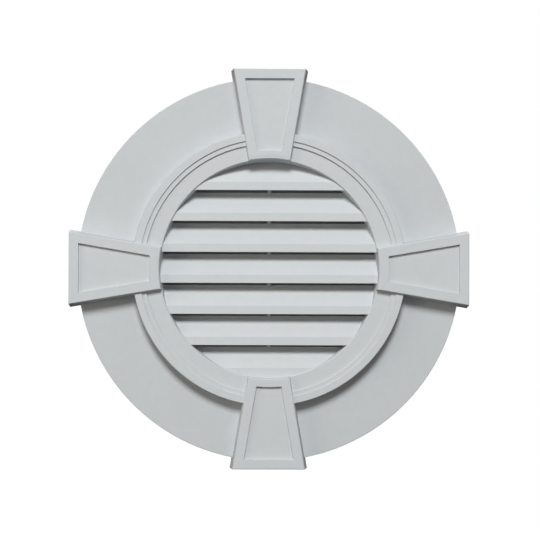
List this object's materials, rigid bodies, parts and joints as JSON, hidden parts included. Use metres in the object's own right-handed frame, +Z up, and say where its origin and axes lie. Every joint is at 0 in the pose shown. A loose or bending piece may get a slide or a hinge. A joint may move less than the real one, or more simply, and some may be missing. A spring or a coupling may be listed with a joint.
{
  "type": "gable vent",
  "caption": "Round louvred gable vent: a flat trim disc with a stepped raised ring, panelled keystones across it and sloping blades in the middle.",
  "frame": {"origin": "middle of the flat back that lies against the wall", "axes": "+Y into the wall, so the front faces -Y; +Z up; +X to the right seen from the front"},
  "size_m": [1.016, 0.058, 1.016],
  "materials": {
    "moulding": "matte",
    "screen_mesh": "matte",
    "staple_wire": "satin"
  },
  "bodies": {
    "root": {"vent_body": "moulding", "insect_screen": "screen_mesh", "screen_staples": "staple_wire"}
  },
  "joints": []
}
